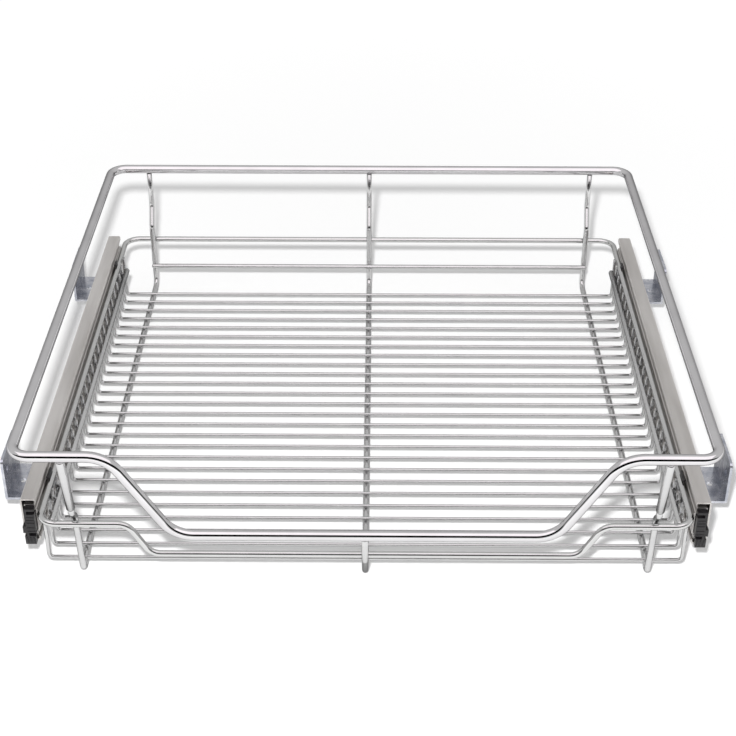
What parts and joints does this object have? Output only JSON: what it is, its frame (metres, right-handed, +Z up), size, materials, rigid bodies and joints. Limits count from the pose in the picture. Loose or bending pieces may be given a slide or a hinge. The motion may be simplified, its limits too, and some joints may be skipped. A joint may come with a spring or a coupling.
{
  "type": "pull out cabinet basket",
  "caption": "Wide shallow chrome wire basket with a dipped front hand grip, riding on side-mounted ball-bearing slides that fix between the side panels of a base cabinet.",
  "frame": {"origin": "On the plane under the feet of the ribs, below the middle of the bounding box.", "axes": "+X to the right as seen from the front, +Y to the back of the cabinet, +Z up; the basket pulls out along -Y."},
  "size_m": [0.564, 0.48, 0.131],
  "materials": {
    "chrome_wire": "bright chrome plate",
    "slide_steel": "satin zinc plate",
    "bracket_zinc": "bright zinc plate",
    "fixing_steel": "zinc plate",
    "cage_steel": "plain steel",
    "ball_steel": "polished",
    "black_plastic": "moulded"
  },
  "bodies": {
    "cabinet_side": {"bracket_front_left": "bracket_zinc", "bracket_front_right": "bracket_zinc", "bracket_rear_left": "bracket_zinc", "bracket_rear_right": "bracket_zinc", "bracket_rivets": "fixing_steel", "cabinet_member_left": "slide_steel", "cabinet_member_right": "slide_steel", "rear_stops": "black_plastic"},
    "basket": {"cross_wire_01": "chrome_wire", "cross_wire_02": "chrome_wire", "cross_wire_03": "chrome_wire", "cross_wire_04": "chrome_wire", "cross_wire_05": "chrome_wire", "cross_wire_06": "chrome_wire", "cross_wire_07": "chrome_wire", "cross_wire_08": "chrome_wire", "cross_wire_09": "chrome_wire", "cross_wire_10": "chrome_wire", "cross_wire_11": "chrome_wire", "cross_wire_12": "chrome_wire", "cross_wire_13": "chrome_wire", "cross_wire_14": "chrome_wire", "cross_wire_15": "chrome_wire", "cross_wire_16": "chrome_wire", "cross_wire_17": "chrome_wire", "cross_wire_18": "chrome_wire", "cross_wire_19": "chrome_wire", "cross_wire_20": "chrome_wire", "cross_wire_21": "chrome_wire", "cross_wire_22": "chrome_wire", "cross_wire_23": "chrome_wire", "cross_wire_24": "chrome_wire", "cross_wire_25": "chrome_wire", "cross_wire_26": "chrome_wire", "drawer_member_left": "slide_steel", "drawer_member_right": "slide_steel", "front_stays": "chrome_wire", "lug_screws": "fixing_steel", "lugs": "fixing_steel", "rear_wire": "chrome_wire", "rib_centre": "chrome_wire", "rib_left": "chrome_wire", "rib_right": "chrome_wire", "rim_wire": "chrome_wire", "side_wires": "chrome_wire", "top_rail": "chrome_wire"},
    "middle_left": {"front_bumper_left": "black_plastic", "middle_member_left": "slide_steel"},
    "outer_cage_left": {"outer_balls_left": "ball_steel", "outer_cage_left": "cage_steel"},
    "inner_cage_left": {"inner_balls_left": "ball_steel", "inner_cage_left": "cage_steel"},
    "lever_left": {"release_lever_left": "black_plastic"},
    "middle_right": {"front_bumper_right": "black_plastic", "middle_member_right": "slide_steel"},
    "outer_cage_right": {"outer_balls_right": "ball_steel", "outer_cage_right": "cage_steel"},
    "inner_cage_right": {"inner_balls_right": "ball_steel", "inner_cage_right": "cage_steel"},
    "lever_right": {"release_lever_right": "black_plastic"}
  },
  "joints": [
    {"name": "basket_slide", "type": "slide", "parent": "cabinet_side", "child": "basket", "axis": [0, -1, 0], "range_m": [0, 0.4]},
    {"name": "middle_slide_left", "type": "slide", "parent": "cabinet_side", "child": "middle_left", "axis": [0, -1, 0], "range_m": [0, 0.2]},
    {"name": "outer_cage_slide_left", "type": "slide", "parent": "cabinet_side", "child": "outer_cage_left", "axis": [0, -1, 0], "range_m": [0, 0.1]},
    {"name": "inner_cage_slide_left", "type": "slide", "parent": "cabinet_side", "child": "inner_cage_left", "axis": [0, -1, 0], "range_m": [0, 0.3]},
    {"name": "release_lever_left", "type": "hinge", "parent": "basket", "child": "lever_left", "pos_m": [-0.2438, 0.0227, 0.0413], "axis": [-1, 0, 0], "range_deg": [0, 20], "stiffness_Nm_per_rad": 0.02},
    {"name": "middle_slide_right", "type": "slide", "parent": "cabinet_side", "child": "middle_right", "axis": [0, -1, 0], "range_m": [0, 0.2]},
    {"name": "outer_cage_slide_right", "type": "slide", "parent": "cabinet_side", "child": "outer_cage_right", "axis": [0, -1, 0], "range_m": [0, 0.1]},
    {"name": "inner_cage_slide_right", "type": "slide", "parent": "cabinet_side", "child": "inner_cage_right", "axis": [0, -1, 0], "range_m": [0, 0.3]},
    {"name": "release_lever_right", "type": "hinge", "parent": "basket", "child": "lever_right", "pos_m": [0.2438, 0.0227, 0.0413], "axis": [-1, 0, 0], "range_deg": [0, 20], "stiffness_Nm_per_rad": 0.02}
  ],
  "couplings": [
    {"joint": "middle_slide_left", "follows": "basket_slide", "ratio": 0.5},
    {"joint": "outer_cage_slide_left", "follows": "basket_slide", "ratio": 0.25},
    {"joint": "inner_cage_slide_left", "follows": "basket_slide", "ratio": 0.75},
    {"joint": "middle_slide_right", "follows": "basket_slide", "ratio": 0.5},
    {"joint": "outer_cage_slide_right", "follows": "basket_slide", "ratio": 0.25},
    {"joint": "inner_cage_slide_right", "follows": "basket_slide", "ratio": 0.75}
  ]
}
